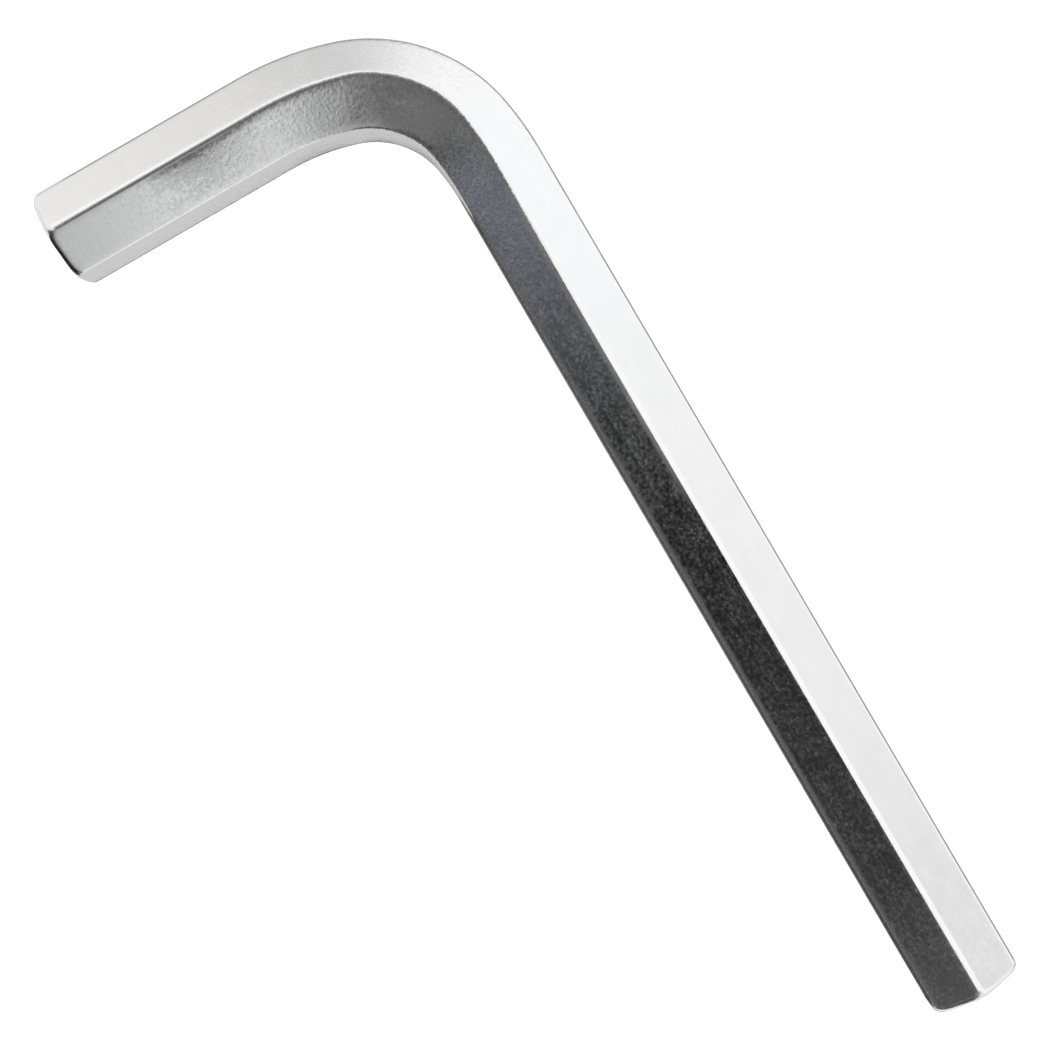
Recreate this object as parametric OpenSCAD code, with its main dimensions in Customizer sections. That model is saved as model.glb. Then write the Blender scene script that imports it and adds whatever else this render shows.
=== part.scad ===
// Hex key for 10 mm hexagon sockets: one steel bar, bent once and rounded over at both ends.
// It lies flat on z = 0, resting on a long edge of each arm. The long arm runs along +X
// from the bend, and the short arm along -Y. The origin is under the middle of its box.

/* [Bar] */
// Size across the flats of the hexagonal bar
across_flats = 10; // [8:0.5:12]
// Radius that the drawn bar has on its six long edges
edge_radius = 0.9; // [0.5:0.1:1.5]

/* [Arms] */
// Length of the long arm, from its end to the outer flat of the short arm
long_arm = 122; // [80:1:200]
// Length of the short arm, from its end to the outer flat of the long arm
short_arm = 49; // [42:1:90]
// Radius of the rounding between each end face and the sides
end_radius = 1.2; // [0.4:0.1:1.6]

/* [Bend] */
// Centre-line radius in the middle of the bend, where the bar was held to the former
bend_radius = 14; // [11:0.5:18]
// Centre-line radius of the two slacker stretches that lead into the bend
lead_radius = 30; // [20:1:45]
// Angle that the lead beside the long arm turns through
long_lead = 10; // [4:1:20]
// Angle that the lead beside the short arm turns through
short_lead = 18; // [4:1:25]

/* [Hidden] */

// Angle that the bar is bent through, and the angle between two rings of points in the bend
bend_turn = 90;
ring_turn = 2;
// Number of flats round the bar, and of narrow facets that round one long edge
flats = 6;
edge_facets = 5;
// Angle between two rings of points in the rounding of an end
roll_turn = 15;
// Angle from one flat to the next
flat_turn = 360 / flats;

half_flat = across_flats / 2;
facet_turn = flat_turn / edge_facets;
// Distance from the bar's axis to the middle facet of a rounded edge, on which the key rests
edge_reach = (half_flat - edge_radius) / cos(flat_turn / 2) + edge_radius * cos(facet_turn / 2);

// The bend's middle turns about [0, 0]. Each lead turns about a centre of its own, placed so
// that its arc meets the middle's arc without a step where the turn reaches meets_at.
slack = lead_radius - bend_radius;
short_lead_from = bend_turn - short_lead;
function outward(turn) = [-sin(turn), cos(turn)];
function on_lead(turn, meets_at) = lead_radius * outward(turn) - slack * outward(meets_at);
function on_bend(turn) =
    turn < long_lead ? on_lead(turn, long_lead) :
    turn > short_lead_from ? on_lead(turn, short_lead_from) :
    bend_radius * outward(turn);

// Corner of the key's box outside the bend, and the centres of the two end faces
long_axis_y = on_bend(0).y;
short_axis_x = on_bend(bend_turn).x;
box_corner = [short_axis_x - half_flat, long_axis_y + half_flat];
long_end = [box_corner.x + long_arm, long_axis_y];
short_end = [short_axis_x, box_corner.y - short_arm];

// Outline of the bar, drawn in by inset: flats face along x, and a corner points along y
function outline(inset) = [
    for (corner = [flat_turn / 2 : flat_turn : 360], facet = [0 : edge_facets])
        let (direction = corner - flat_turn / 2 + facet * facet_turn)
        (half_flat - inset - edge_radius) / cos(flat_turn / 2) * [cos(corner), sin(corner)]
            + edge_radius * [cos(direction), sin(direction)]
];

// Ring of points: the outline, standing square to the bar's axis at a place on it
function ring(inset, place, turn) = [
    for (point = outline(inset))
        [each place + point.x * outward(turn), point.y]
];

// Rounding of an end, where roll is 0 at the sides and 90 at the end face
function rolled_in(roll) = end_radius * (1 - cos(roll));
function rolled_back(roll) = end_radius * (1 - sin(roll));

// Rings along the bar: the long end's face and rounding, the bend, then the short end's
rings = [
    for (roll = [90 : -roll_turn : 0])
        ring(rolled_in(roll), long_end - [rolled_back(roll), 0], 0),
    for (turn = [0 : ring_turn : bend_turn])
        ring(0, on_bend(turn), turn),
    for (roll = [0 : roll_turn : 90])
        ring(rolled_in(roll), short_end + [0, rolled_back(roll)], bend_turn)
];

// Solid skin over a row of rings that all have the same number of points
module skin(rings) {
    size = len(rings[0]);
    last = len(rings) - 1;
    sides = [
        for (row = [0 : last - 1], column = [0 : size - 1])
            let (here = row * size, next = (column + 1) % size)
            [here + column, here + next, here + size + next, here + size + column]
    ];
    first_face = [for (column = [size - 1 : -1 : 0]) column];
    last_face = [for (column = [0 : size - 1]) last * size + column];
    polyhedron(points = [for (ring = rings) each ring], faces = [first_face, each sides, last_face]);
}

module hex_key() {
    color([0.78, 0.78, 0.77])
        translate([-box_corner.x - long_arm / 2, short_arm / 2 - box_corner.y, edge_reach])
            skin(rings);
}

hex_key();
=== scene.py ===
import math

import bmesh
import bpy
from mathutils import Euler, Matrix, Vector


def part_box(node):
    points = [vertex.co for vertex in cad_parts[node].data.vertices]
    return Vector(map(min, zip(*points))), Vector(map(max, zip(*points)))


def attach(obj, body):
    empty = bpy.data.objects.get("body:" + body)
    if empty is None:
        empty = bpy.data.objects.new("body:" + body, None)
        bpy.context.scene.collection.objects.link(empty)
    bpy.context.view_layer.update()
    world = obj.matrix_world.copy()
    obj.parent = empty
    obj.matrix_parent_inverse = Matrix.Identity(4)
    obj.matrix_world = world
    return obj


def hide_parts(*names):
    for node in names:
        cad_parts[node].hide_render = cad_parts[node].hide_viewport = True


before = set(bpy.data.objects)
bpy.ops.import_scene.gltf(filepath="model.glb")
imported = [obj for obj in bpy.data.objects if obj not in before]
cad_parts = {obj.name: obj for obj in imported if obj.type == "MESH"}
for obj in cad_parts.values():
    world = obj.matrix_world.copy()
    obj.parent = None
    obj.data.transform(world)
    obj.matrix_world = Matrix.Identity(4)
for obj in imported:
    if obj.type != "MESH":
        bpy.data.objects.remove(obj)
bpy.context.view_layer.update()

MM = 0.001

# The bar's section as in the solid, a hexagon with a corner at the top
ACROSS_FLATS = 10 * MM
HALF_FLAT = ACROSS_FLATS / 2
FLATS = 6
FLAT_TURN = 2 * math.pi / FLATS
# The bend as in the solid. The bar turns from 0 at the long arm to BEND_TURN at the short one, in
# the slacker radius of a lead up to LONG_LEAD_TO and again from SHORT_LEAD_FROM.
BEND_TURN = math.radians(90)
BEND_RADIUS = 14 * MM
LEAD_RADIUS = 30 * MM
LONG_LEAD_TO = math.radians(10)
SHORT_LEAD_FROM = BEND_TURN - math.radians(18)

# The solid's box, and the height of the bar's axis in it
BAR_LOW, BAR_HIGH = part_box("hex_key")
AXIS_HEIGHT = (BAR_LOW[2] + BAR_HIGH[2]) / 2

# How much further than in the solid each arm reaches
LONG_EXTRA = 0.35 * MM
SHORT_EXTRA = 0.30 * MM
# The long edges are rounded with a small radius in the middle and a slack one to either side
EDGE_RADIUS = 0.78 * MM
SHOULDER_RADIUS = 6 * MM
SHOULDER_TURN = math.radians(5)
# The rounding of an end is larger on the long edges than between them
END_RADIUS = 0.7 * MM
END_EDGE_RADIUS = 1.1 * MM
# Where the bar is bent, its inside spreads and its outside thins, which moves the crest outward.
# SPREAD is the share by which a strip widens, for each metre that it lies inside of the axis, and
# SPREAD_TURN is the turn over which this grows from nothing at either end of the bend.
SPREAD = 17.0
SPREAD_TURN = math.radians(30)

# How finely the surface is divided
EDGE_STEPS = 4
SHOULDER_STEPS = 2
FLAT_STEPS = 6
ROLL_STEPS = 9
BEND_STEP = math.radians(1.5)
ARM_STEP = 2 * MM
# Share of a flat's width between its edge and the first line on it, which keeps its shading flat
FLAT_MARGIN = 0.04
# In radii of an end's rounding: the distance from the corner that it rounds to the rings beside it,
# on the sides and on the end face, and the least distance from the end to all other rings
END_MARGIN = 1.3
ARM_MARGIN = 1.4

# The steel's greys, and the range that a noise mostly keeps to
DULL_GREY = (0.87, 0.87, 0.87, 1)
BRIGHT_GREY = (0.94, 0.94, 0.94, 1)
NOISE_RANGE = (0.3, 0.7)
# Scale, detail and roughness of each noise. The draw lines are scaled apart, by their number to
# the metre along the bar and round it.
GRAIN = (2400.0, 2.5, 0.6)
BLOTCHES = (420.0, 2.0, 0.5)
DRAW_LINES = (1.0, 2.0, 0.5)
LINES_ALONG = 90
LINES_AROUND = 1900
# The surface's roughness from the grain, what the rest adds to it, and how high the grain and the
# lines stand
GRAIN_ROUGHNESS = (0.09, 0.27)
LINE_ROUGHNESS = (-0.03, 0.03)
BLOTCH_ROUGHNESS = (-0.025, 0.025)
BENT_ROUGHNESS = 0.05
GRAIN_HEIGHT = 0.026 * MM
LINE_HEIGHT = 0.002 * MM
# The plating is crazed where the bar is bent: the middle of the bend, the distances from it at
# which the crazing starts and is full, and the share of the grain's height that is left elsewhere
BEND_MIDDLE = (-43 * MM, 9 * MM, 6 * MM)
CRAZING = (27 * MM, 12 * MM)
UNBENT_SHARE = 0.15

# The key mirrors a dome that glows though it lights nothing: a painted reflection of a tent of white
# cloth that is open towards -Y. Each stop is (degrees from +X, brightness, warmth), and the painted
# brightness eases from one stop to the next.
TENT = [
    (-180, 0.74, 2), (-170, 0.90, 2), (-150, 0.93, 0), (-124, 0.86, 0), (-112, 0.36, -8),
    (-107, 0.16, -48), (-102, 0.13, -45), (-99, 0.08, 0), (-94, 0.03, 0), (-90, 0.01, 0),
    (-72, 0.03, 0), (-60, 0.12, 0), (-45, 0.31, 0), (-30, 0.37, 0), (-18, 0.40, -1),
    (-12, 0.60, -1), (-6.5, 0.92, -1), (-2, 0.62, -1), (22, 1.00, 0), (50, 1.00, 0),
    (68, 0.79, 0), (80, 0.93, 0), (92, 0.97, 0), (102, 1.06, -2), (130, 1.02, 0),
    (144, 1.00, 0), (155, 0.80, 0), (168, 0.66, 0), (176, 0.70, 1), (180, 0.74, 2),
]
# Share that one step of warmth adds to the red, and share that it takes from the blue
WARM_RED = 0.004
WARM_BLUE = 0.01
# The tent's radius in metres, and its segments round it and from pole to pole of a whole sphere
TENT_RADIUS = 2.5
TENT_SEGMENTS = (64, 32)
# Panels between the key and the tent that glow and are seen only in the metal: painted reflections,
# bright and dark. Each is (name, distance in metres, roll, lean, brightness). Roll is in degrees from
# the horizon at +Y over the top to the horizon at -Y, and lean is towards +X.
PANELS = [
    ("overhead_panel", 2.3, (40, 123), (-12, 20), 1.05),
    ("overhead_side_panel", 2.3, (40, 117), (20, 25), 1.05),
    ("right_low_panel", 2.3, (60, 175), (67, 88), 0.95),
    ("left_panel", 2.3, (55, 125), (-68, -42), 1.05),
    ("low_shade", 2.2, (140, 180), (30, 66), 0.07),
    ("low_front_panel", 2.2, (152, 173), (-30, 29), 0.12),
    ("low_back_panel", 2.2, (0, 15), (-45, 30), 1.10),
]
PANEL_STEPS = 24
# Low cards that stand on the floor round the key, glow and are seen only in the metal: painted
# reflections, where the dark ones paint the floor's shade beside the key and the bright ones paint
# highlights. Each is (name, height in mm, brightness, corners of its foot in mm)
CARDS = [
    ("front_card", 8, 0.06, [(-37, 9), (-34, 6), (64, 6)]),
    ("short_end_card", 14, 0.02, [(-57, -33), (-43, -33)]),
    ("short_end_side_card", 8, 0.95, [(-76, -30), (-57, -33)]),
    ("long_end_card", 8, 0.95, [(72, 3), (72, 33)]),
    ("back_card", 8, 0.34, [(64, 33), (-50, 33), (-62, 30), (-69, 20), (-69, -22)]),
]
# Level cards that glow at set levels and are seen only in the metal: flags over the short arm and
# the bend, which paint dark reflections, and sheets on the floor beside the key, which paint the
# floor's shadow into the metal. Each is (name, height in mm, brightness, corners in mm)
LEVEL_CARDS = [
    ("arm_flag_outer", 45, 0.25, [(-76, -32), (-60, -32), (-60, 26), (-76, 30)]),
    ("arm_flag", 45, 0.10, [(-60, -32), (-47, -32), (-47, -2), (-49, 8), (-56, 22), (-60, 26)]),
    ("inside_flag", 25, 0.22, [(-52.4, -28), (-50.4, -28), (-50.4, -3), (-52.4, -1)]),
    ("inside_flag_edge", 25, 0.44, [(-50.4, -28), (-48.0, -28), (-48.0, -5), (-50.4, -3)]),
    ("crown_flag", 45, 0.13, [
        (-56, 23), (-49, 8), (-47, -5), (-35, -16), (-24, -17),
        (-20, -10), (-31, 2), (-38, 10), (-43.5, 17), (-50.5, 21),
    ]),
    ("bend_flag", 90, 0.17, [(-60, -90), (-60, -45), (-24, -45), (-6, -44), (4, -60), (-2, -90)]),
    # The sheets below paint the floor's shadow beside the key into the metal's reflections
    ("front_mat", 0.1, 0.07, [(-40, 13.9), (-37, 7), (64, 6), (64, 14.3)]),
    ("inside_mat", 0.1, 0.15, [
        (-51.6, -25), (-50.3, -25), (-50.3, 0), (-49.3, 7.9), (-47.3, 11.3),
        (-44.2, 13.4), (-44.5, 14.3), (-48, 12), (-50.4, 8.2), (-51.6, 0),
    ]),
    ("long_end_mat", 0.1, 0.05, [(61.5, 12), (71, 12), (71, 28), (61.5, 28)]),
    ("short_end_mat", 0.1, 0.05, [(-66, -36), (-57, -34), (-57, -25.2), (-62, -25.2), (-66, -22)]),
]

# The floor: its reach from the key in metres, its grey, and how much it is lifted to white where the
# camera sees it, and where metal or glass shows it
FLOOR_REACH = 3.0
FLOOR_GREY = (0.68, 0.68, 0.68, 1)
FLOOR_LIFT = 0.82
FLOOR_MIRRORED_LIFT = 0.05
# The soft light from all round, then the lamp: its strength, how wide it looks, and its direction
# from +X towards +Y and above the floor
SOFT_LIGHT = 0.35
LAMP_STRENGTH = 2.4
LAMP_WIDTH = math.radians(25)
LAMP_AZIMUTH = math.radians(4)
LAMP_ELEVATION = math.radians(42)

# The camera, fitted to the photograph: focal length and sensor in mm, shift of the frame as shares of
# its width, place in metres, and turns in degrees about X, Y and Z
FOCAL_LENGTH = 59.09
SENSOR_WIDTH = 36
FRAME_SHIFT = (-0.0551, -0.0390)
CAMERA_PLACE = (-0.0020, 0.0078, 0.1900)
CAMERA_TURNS = (1.338, -0.210, 59.755)
NEAREST_SEEN = 10 * MM


def outward(turn):
    """Direction from the inside of the bend to its outside, where the bar has turned so far."""
    return Vector((-math.sin(turn), math.cos(turn)))


def onward(turn):
    """Direction of travel along the bar, from the long end to the short end."""
    return Vector((-math.cos(turn), -math.sin(turn)))


def bend_place(turn):
    """Point of the centre line in the bend, from the centre of the bend's middle."""
    slack = LEAD_RADIUS - BEND_RADIUS
    if turn < LONG_LEAD_TO:
        return LEAD_RADIUS * outward(turn) - slack * outward(LONG_LEAD_TO)
    if turn > SHORT_LEAD_FROM:
        return LEAD_RADIUS * outward(turn) - slack * outward(SHORT_LEAD_FROM)
    return BEND_RADIUS * outward(turn)


def centre_line():
    """Stations (place, turn) from one end of the solid to the other, in the plane of the bend."""
    corner = Vector((BAR_LOW[0], BAR_HIGH[1]))
    bend_corner = Vector((bend_place(BEND_TURN).x - HALF_FLAT, bend_place(0).y + HALF_FLAT))
    bend_centre = corner - bend_corner
    bend_steps = round(BEND_TURN / BEND_STEP)
    turns = [BEND_TURN * k / bend_steps for k in range(bend_steps + 1)]
    bend = [(bend_centre + bend_place(turn), turn) for turn in turns]
    first, last = bend[0][0], bend[-1][0]
    long_end = Vector((BAR_HIGH[0], first.y))
    short_end = Vector((last.x, BAR_LOW[1]))
    long_steps = round((long_end - first).length / ARM_STEP)
    short_steps = round((short_end - last).length / ARM_STEP)
    long_arm = [(long_end.lerp(first, k / long_steps), 0.0) for k in range(long_steps)]
    short_arm = [
        (last.lerp(short_end, k / short_steps), BEND_TURN) for k in range(1, short_steps + 1)
    ]
    return long_arm + bend + short_arm


def edge_rounding():
    """Points (across, drop) of a rounded long edge, from its crest to one flat."""
    core_turn = FLAT_TURN / 2 - SHOULDER_TURN
    points = []
    for k in range(EDGE_STEPS + 1):
        turn = core_turn * k / EDGE_STEPS
        points.append((EDGE_RADIUS * math.sin(turn), EDGE_RADIUS * (1 - math.cos(turn))))
    core_across, core_drop = points[-1]
    for k in range(1, SHOULDER_STEPS + 1):
        turn = core_turn + SHOULDER_TURN * k / SHOULDER_STEPS
        across = core_across + SHOULDER_RADIUS * (math.sin(turn) - math.sin(core_turn))
        drop = core_drop + SHOULDER_RADIUS * (math.cos(core_turn) - math.cos(turn))
        points.append((across, drop))
    return points


def section():
    """Points (out, up) of the rounded hexagon, with a corner at the top."""
    half = edge_rounding()
    across, drop = half[-1]
    lean = FLAT_TURN / 2
    reach = (HALF_FLAT - across * math.sin(lean)) / math.cos(lean) + drop
    arcs = []
    for corner in range(FLATS):
        towards = FLAT_TURN * (corner + 0.5)
        crest = Vector((math.cos(towards), math.sin(towards)))
        side = Vector((-math.sin(towards), math.cos(towards)))
        before = [(reach - down) * crest - along * side for along, down in reversed(half[1:])]
        after = [(reach - down) * crest + along * side for along, down in half]
        arcs.append(before + after)
    shares = [FLAT_MARGIN] + [k / FLAT_STEPS for k in range(1, FLAT_STEPS)] + [1 - FLAT_MARGIN]
    points = []
    for arc, following in zip(arcs, arcs[1:] + arcs[:1]):
        points += arc
        points += [arc[-1].lerp(following[0], share) for share in shares]
    return points


def spread_at(turn):
    """How far the section is distorted, which fades out towards both ends of the bend."""
    share = 1.0
    for way in (turn / SPREAD_TURN, (BEND_TURN - turn) / SPREAD_TURN):
        way = min(max(way, 0.0), 1.0)
        share *= way * way * (3 - 2 * way)
    return SPREAD * share


def distorted(point, spread):
    """A point of the section as bending moves it. The inner and outer flats' middles stay."""
    shift = spread * (point.y**2 - point.x**2 + HALF_FLAT**2) / 2
    return Vector((point.x + shift, point.y * (1 - spread * point.x)))


def station_ring(place, turn):
    """Ring of points round the bar at a station of its centre line."""
    outline = [distorted(point, spread_at(turn)) for point in section()]
    return [(*(place + point.x * outward(turn)), AXIS_HEIGHT + point.y) for point in outline]


def end_profile():
    """(distance from the end face, inset) for each ring of an end, in radii of its rounding."""
    profile = [(END_MARGIN, 0.0)]
    for k in range(ROLL_STEPS + 1):
        roll = math.pi / 2 * k / ROLL_STEPS
        profile.append((1 - math.sin(roll), 1 - math.cos(roll)))
    profile.append((0.0, END_MARGIN))
    return profile


def end_rings(end, inward, turn):
    """Rings from the side of the bar to its end face, from which inward leads into the bar."""
    outline = section()
    reach = max(point.length for point in outline)
    rings = []
    for back, inset in end_profile():
        ring = []
        for point in outline:
            edge_share = max(0.0, (point.length - HALF_FLAT) / (reach - HALF_FLAT)) ** 2
            radius = END_RADIUS + (END_EDGE_RADIUS - END_RADIUS) * edge_share
            drawn_in = point * (1 - inset * radius / point.length)
            place = end + inward * (back * radius) + drawn_in.x * outward(turn)
            ring.append((*place, AXIS_HEIGHT + drawn_in.y))
        rings.append(ring)
    return rings


def bar_rings():
    """All rings of points round the bar, from the long end's face to the short end's."""
    stations = centre_line()
    long_end = stations[0][0] - onward(0) * LONG_EXTRA
    short_end = stations[-1][0] + onward(BEND_TURN) * SHORT_EXTRA
    rings = end_rings(long_end, onward(0), 0)[::-1]
    for place, turn in stations:
        from_end = min((place - long_end).length, (place - short_end).length)
        if from_end >= ARM_MARGIN * END_EDGE_RADIUS:
            rings.append(station_ring(place, turn))
    return rings + end_rings(short_end, -onward(BEND_TURN), BEND_TURN)


def running_lengths(points):
    """Distance from the first point to each, along the row of points."""
    lengths = [0.0]
    for point, following in zip(points, points[1:]):
        lengths.append(lengths[-1] + (Vector(following) - Vector(point)).length)
    return lengths


def add_object(name, mesh):
    """A new object in the scene from a bmesh, which it frees."""
    data = bpy.data.meshes.new(name)
    mesh.to_mesh(data)
    mesh.free()
    thing = bpy.data.objects.new(name, data)
    bpy.context.scene.collection.objects.link(thing)
    return thing


def make_key():
    """The bar as one closed mesh, with a UV map that runs along it and round it, and its length."""
    rings = bar_rings()
    outline = section()
    along = running_lengths([ring[0] for ring in rings])
    around = running_lengths(outline + outline[:1])
    mesh = bmesh.new()
    uv_layer = mesh.loops.layers.uv.new("bar")
    rows = [[mesh.verts.new(point) for point in ring] for ring in rings]
    for row in range(len(rows) - 1):
        for column in range(len(outline)):
            nearby = (column + 1) % len(outline)
            corners = (
                (rows[row][column], row, column),
                (rows[row + 1][column], row + 1, column),
                (rows[row + 1][nearby], row + 1, column + 1),
                (rows[row][nearby], row, column + 1),
            )
            face = mesh.faces.new([corner[0] for corner in corners])
            for loop, (_, at_row, at_column) in zip(face.loops, corners):
                loop[uv_layer].uv = (along[at_row] / along[-1], around[at_column] / along[-1])
    mesh.faces.new(rows[0])
    mesh.faces.new(reversed(rows[-1]))
    bmesh.ops.recalc_face_normals(mesh, faces=mesh.faces)
    for face in mesh.faces:
        face.smooth = True
    return add_object("key", mesh), along[-1]


class Nodes:
    """The nodes of one material or world, which start out empty."""

    def __init__(self, tree):
        tree.nodes.clear()
        self.tree = tree

    def add(self, kind, **settings):
        """A new node with its properties and inputs set."""
        node = self.tree.nodes.new(kind)
        for setting, value in settings.items():
            if hasattr(node, setting):
                setattr(node, setting, value)
            else:
                node.inputs[setting].default_value = value
        return node

    def link(self, output, socket):
        """Lead a node's output to an input."""
        self.tree.links.new(output, socket)

    def combine(self, operation, first, second):
        """Result of a math operation on a node's output and a number or another output."""
        node = self.add("ShaderNodeMath", operation=operation)
        self.link(first, node.inputs[0])
        if isinstance(second, float):
            node.inputs[1].default_value = second
        else:
            self.link(second, node.inputs[1])
        return node.outputs["Value"]

    def noise(self, place, scale, detail, roughness):
        """A noise over the given coordinates."""
        node = self.add("ShaderNodeTexNoise", Scale=scale, Detail=detail, Roughness=roughness)
        self.link(place, node.inputs["Vector"])
        return node.outputs["Fac"]

    def remap(self, source, old, new, **settings):
        """The source, with its old range (least, most) stretched to the new one."""
        node = self.add("ShaderNodeMapRange", **settings)
        for socket, value in zip(("From Min", "From Max", "To Min", "To Max"), (*old, *new)):
            node.inputs[socket].default_value = value
        self.link(source, node.inputs["Value"])
        return node.outputs["Result"]

    def bump(self, height, distance):
        """A bump node that raises the surface by the distance where the height is 1."""
        node = self.add("ShaderNodeBump", Strength=1.0, Distance=distance)
        self.link(height, node.inputs["Height"])
        return node

    def show(self, shader, output_kind="ShaderNodeOutputMaterial"):
        """Lead a shader to an output node."""
        output = self.add(output_kind)
        self.link(shader, output.inputs["Surface"])


def new_material(name):
    """An empty node material and its nodes. Cycles doesn't take what glows in it for a lamp."""
    material = bpy.data.materials.new(name)
    material.use_nodes = True
    material.cycles.emission_sampling = "NONE"
    return material, Nodes(material.node_tree)


def steel_bump(nodes, grain, lines, bent):
    """Surface normal with draw lines and with grain, which stands higher where the bar is bent."""
    crazed = nodes.remap(bent, (0, 1), (UNBENT_SHARE, 1))
    grain_bump = nodes.bump(nodes.combine("MULTIPLY", grain, crazed), GRAIN_HEIGHT)
    line_bump = nodes.bump(lines, LINE_HEIGHT)
    nodes.link(grain_bump.outputs["Normal"], line_bump.inputs["Normal"])
    return line_bump.outputs["Normal"]


def steel_roughness(nodes, grain, lines, blotches, bent):
    """Roughness that varies with the grain, lines and blotches, and is higher in the bend."""
    rough = nodes.remap(grain, NOISE_RANGE, GRAIN_ROUGHNESS)
    rough = nodes.combine("ADD", rough, nodes.remap(lines, NOISE_RANGE, LINE_ROUGHNESS))
    rough = nodes.combine("ADD", rough, nodes.remap(blotches, NOISE_RANGE, BLOTCH_ROUGHNESS))
    return nodes.combine("ADD", rough, nodes.combine("MULTIPLY", bent, BENT_ROUGHNESS))


def steel_colour(nodes, blotches):
    """Light grey that varies a little from blotch to blotch."""
    colour = nodes.add("ShaderNodeMix", data_type="RGBA")
    nodes.link(blotches, colour.inputs["Factor"])
    # A colour mix has its two colours as inputs 6 and 7, and its result as output 2
    colour.inputs[6].default_value = DULL_GREY
    colour.inputs[7].default_value = BRIGHT_GREY
    return colour.outputs[2]


def steel(bar_length):
    """Satin bright plating over drawn bar: mottled grain, draw lines, and a crazed, duller bend."""
    material, nodes = new_material("satin_plated_steel")
    place = nodes.add("ShaderNodeTexCoord").outputs["Object"]
    bar = nodes.add("ShaderNodeUVMap", uv_map="bar")
    stretch = nodes.add("ShaderNodeMapping")
    stretch.inputs["Scale"].default_value = (LINES_ALONG * bar_length, LINES_AROUND * bar_length, 1)
    nodes.link(bar.outputs["UV"], stretch.inputs["Vector"])
    grain = nodes.noise(place, *GRAIN)
    blotches = nodes.noise(place, *BLOTCHES)
    lines = nodes.noise(stretch.outputs["Vector"], *DRAW_LINES)

    away = nodes.add("ShaderNodeVectorMath", operation="DISTANCE")
    away.inputs[1].default_value = BEND_MIDDLE
    nodes.link(place, away.inputs[0])
    bent = nodes.remap(away.outputs["Value"], CRAZING, (0, 1), interpolation_type="SMOOTHSTEP")

    surface = nodes.add("ShaderNodeBsdfPrincipled", Metallic=1.0)
    nodes.link(steel_colour(nodes, blotches), surface.inputs["Base Color"])
    nodes.link(steel_roughness(nodes, grain, lines, blotches, bent), surface.inputs["Roughness"])
    nodes.link(steel_bump(nodes, grain, lines, bent), surface.inputs["Normal"])
    nodes.show(surface.outputs["BSDF"])
    return material


def add_mirrored(name, mesh, material):
    """Part of the studio that lights nothing and is seen in the metal only."""
    thing = add_object(name, mesh)
    thing.data.materials.append(material)
    thing.visible_camera = False
    thing.visible_diffuse = False
    thing.visible_transmission = False
    thing.visible_shadow = False


def glowing(name, level):
    """A material of one even brightness."""
    material, nodes = new_material(name)
    glow = nodes.add("ShaderNodeEmission", Strength=level)
    nodes.show(glow.outputs["Emission"])
    return material


def painted_tent_reflection():
    """A glow whose brightness follows the compass, as TENT gives it: the tent's painted reflection.
    """
    material, nodes = new_material("painted_tent_reflection")
    place = nodes.add("ShaderNodeTexCoord")
    compass = nodes.add("ShaderNodeTexGradient", gradient_type="RADIAL")
    nodes.link(place.outputs["Object"], compass.inputs["Vector"])
    ramp = nodes.add("ShaderNodeValToRGB")
    ramp.color_ramp.interpolation = "EASE"
    stops = ramp.color_ramp.elements
    while len(stops) < len(TENT):
        stops.new(0.5)
    for stop, (degrees, level, warmth) in zip(stops, TENT):
        stop.position = degrees / 360 + 0.5
        red = level * (1 + WARM_RED * warmth)
        blue = level * (1 - WARM_BLUE * warmth)
        stop.color = (red, level, blue, 1)
    nodes.link(compass.outputs["Fac"], ramp.inputs["Fac"])
    cloth = nodes.add("ShaderNodeEmission")
    nodes.link(ramp.outputs["Color"], cloth.inputs["Color"])
    nodes.show(cloth.outputs["Emission"])
    return material


def tent():
    """A dome over the key, down to the floor, seen only in the metal: the painted reflection of a
    tent of cloth.
    """
    around, upward = TENT_SEGMENTS
    mesh = bmesh.new()
    bmesh.ops.create_uvsphere(mesh, u_segments=around, v_segments=upward, radius=TENT_RADIUS)
    below_floor = [vertex for vertex in mesh.verts if vertex.co.z < -MM]
    bmesh.ops.delete(mesh, geom=below_floor, context="VERTS")
    add_mirrored("tent", mesh, painted_tent_reflection())


def panel(name, distance, rolls, leans, level):
    """A curved panel that faces the key from far off and is seen only in the metal: a painted
    reflection.
    """
    mesh = bmesh.new()
    rows = []
    for i in range(PANEL_STEPS + 1):
        roll = math.radians(rolls[0] + (rolls[1] - rolls[0]) * i / PANEL_STEPS)
        row = []
        for j in range(PANEL_STEPS + 1):
            lean = math.radians(leans[0] + (leans[1] - leans[0]) * j / PANEL_STEPS)
            sideways = math.cos(lean)
            towards = Vector((math.sin(lean), sideways * math.cos(roll), sideways * math.sin(roll)))
            row.append(mesh.verts.new(distance * towards))
        rows.append(row)
    for upper, lower in zip(rows, rows[1:]):
        for j in range(PANEL_STEPS):
            mesh.faces.new((upper[j], upper[j + 1], lower[j + 1], lower[j]))
    add_mirrored(name, mesh, glowing(name, level))


def card(name, height, level, foot):
    """A low card that stands on the floor beside the key, glows and is seen only in the metal: a
    painted reflection.
    """
    mesh = bmesh.new()
    low = [mesh.verts.new((x * MM, y * MM, 0.0)) for x, y in foot]
    high = [mesh.verts.new((x * MM, y * MM, height * MM)) for x, y in foot]
    for k in range(len(foot) - 1):
        mesh.faces.new((low[k], low[k + 1], high[k + 1], high[k]))
    add_mirrored(name, mesh, glowing(name, level))


def level_card(name, height, level, corners):
    """A card that lies level over the key or beside it, glows and is seen only in the metal: a
    painted reflection.
    """
    mesh = bmesh.new()
    mesh.faces.new([mesh.verts.new((x * MM, y * MM, height * MM)) for x, y in corners])
    add_mirrored(name, mesh, glowing(name, level))


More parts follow.
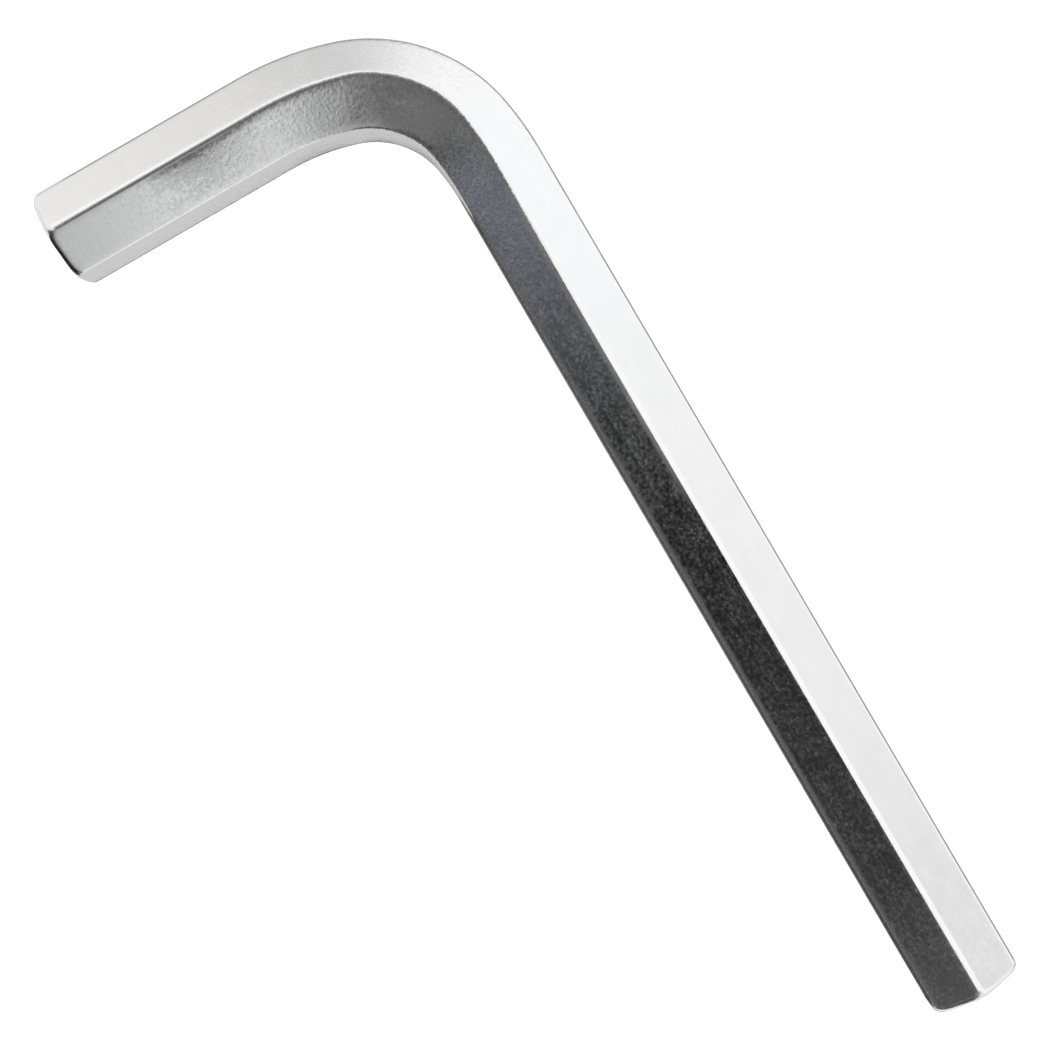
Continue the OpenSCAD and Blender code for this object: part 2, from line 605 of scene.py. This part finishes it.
def background_level(nodes, camera_level, mirrored_level):
    """The level that a background adds where the camera sees it, and where metal or glass does."""
    ray = nodes.add("ShaderNodeLightPath").outputs
    mirrored = nodes.combine("MAXIMUM", ray["Is Glossy Ray"], ray["Is Transmission Ray"])
    to_camera = nodes.combine("MULTIPLY", ray["Is Camera Ray"], camera_level)
    to_metal = nodes.combine("MULTIPLY", mirrored, mirrored_level)
    return nodes.combine("ADD", to_camera, to_metal)


def floor():
    """A plain pale floor that is white to the camera and keeps the key's shadow."""
    material, nodes = new_material("pale_floor")
    paper = nodes.add("ShaderNodeBsdfDiffuse")
    paper.inputs["Color"].default_value = FLOOR_GREY
    glow = nodes.add("ShaderNodeEmission")
    lift = background_level(nodes, FLOOR_LIFT, FLOOR_MIRRORED_LIFT)
    nodes.link(lift, glow.inputs["Strength"])
    both = nodes.add("ShaderNodeAddShader")
    nodes.link(paper.outputs["BSDF"], both.inputs[0])
    nodes.link(glow.outputs["Emission"], both.inputs[1])
    nodes.show(both.outputs["Shader"])
    mesh = bmesh.new()
    bmesh.ops.create_grid(mesh, x_segments=1, y_segments=1, size=FLOOR_REACH)
    thing = add_object("floor", mesh)
    thing.data.materials.append(material)


def sky():
    """White to the camera and in reflections, and an even soft light for everything else."""
    world = bpy.data.worlds.new("studio")
    bpy.context.scene.world = world
    world.use_nodes = True
    nodes = Nodes(world.node_tree)
    lift = background_level(nodes, 1 - SOFT_LIGHT, 1 - SOFT_LIGHT)
    light = nodes.add("ShaderNodeBackground")
    light.inputs["Color"].default_value = (1, 1, 1, 1)
    nodes.link(nodes.combine("ADD", lift, SOFT_LIGHT), light.inputs["Strength"])
    nodes.show(light.outputs["Background"], "ShaderNodeOutputWorld")


def main_light():
    """A broad soft lamp high over +X, for the floor and the key's shadow. The metal mirrors the
    tent and not the lamp."""
    lamp = bpy.data.lights.new("main_light", "SUN")
    lamp.energy = LAMP_STRENGTH
    lamp.angle = LAMP_WIDTH
    sideways = math.cos(LAMP_ELEVATION)
    away = Vector((
        sideways * math.cos(LAMP_AZIMUTH),
        sideways * math.sin(LAMP_AZIMUTH),
        math.sin(LAMP_ELEVATION),
    ))
    holder = bpy.data.objects.new("main_light", lamp)
    holder.rotation_euler = away.to_track_quat("Z", "Y").to_euler()
    holder.visible_glossy = False
    bpy.context.scene.collection.objects.link(holder)


def camera():
    """Above the key, looking down on it as the photograph does."""
    lens = bpy.data.cameras.new("camera")
    lens.sensor_width = SENSOR_WIDTH
    lens.lens = FOCAL_LENGTH
    lens.shift_x, lens.shift_y = FRAME_SHIFT
    lens.clip_start = NEAREST_SEEN
    eye = bpy.data.objects.new("camera", lens)
    eye.location = CAMERA_PLACE
    eye.rotation_euler = Euler([math.radians(turn) for turn in CAMERA_TURNS])
    bpy.context.scene.collection.objects.link(eye)
    bpy.context.scene.camera = eye


key, bar_length = make_key()
key.data.materials.append(steel(bar_length))
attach(key, "root")
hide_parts("hex_key")

tent()
for row in PANELS:
    panel(*row)
for row in CARDS:
    card(*row)
for row in LEVEL_CARDS:
    level_card(*row)
floor()
sky()
main_light()
camera()
bpy.context.scene.view_settings.view_transform = "Standard"
